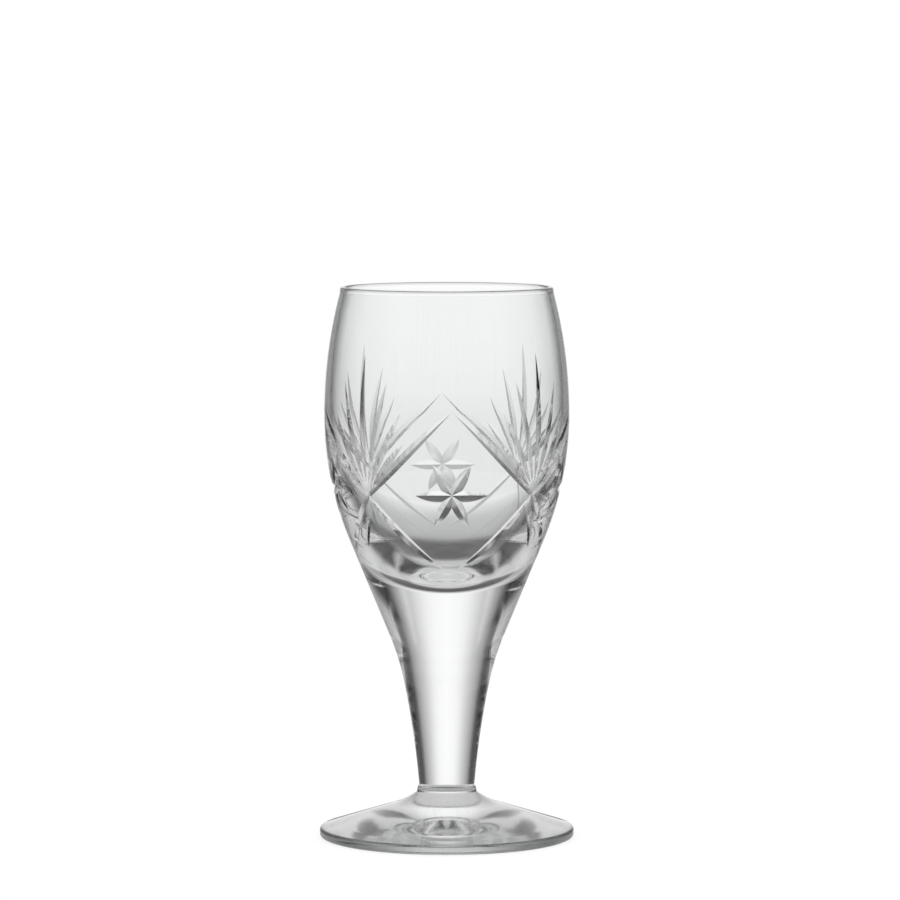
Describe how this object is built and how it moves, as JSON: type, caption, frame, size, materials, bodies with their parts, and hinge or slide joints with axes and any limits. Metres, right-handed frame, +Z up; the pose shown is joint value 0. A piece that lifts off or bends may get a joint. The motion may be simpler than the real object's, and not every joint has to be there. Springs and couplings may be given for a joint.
{
  "type": "red wine glass",
  "caption": "Stemmed wine glass of clear cut glass: tapered bowl with diamond panels, stars and fans, solid flared stem, collar and round conical foot.",
  "frame": {"origin": "middle of the ring that the foot stands on, at the height of the table", "axes": "+Z up the stem to the lip; -Y towards the middle of one cut panel"},
  "size_m": [0.0762, 0.0762, 0.165],
  "materials": {
    "cut_glass": "clear, fire-polished, with polished mitre cuts",
    "clear_glass": "clear, fire-polished"
  },
  "bodies": {
    "root": {"bowl": "cut_glass", "stem": "clear_glass", "collar": "clear_glass", "foot": "clear_glass"}
  },
  "joints": []
}
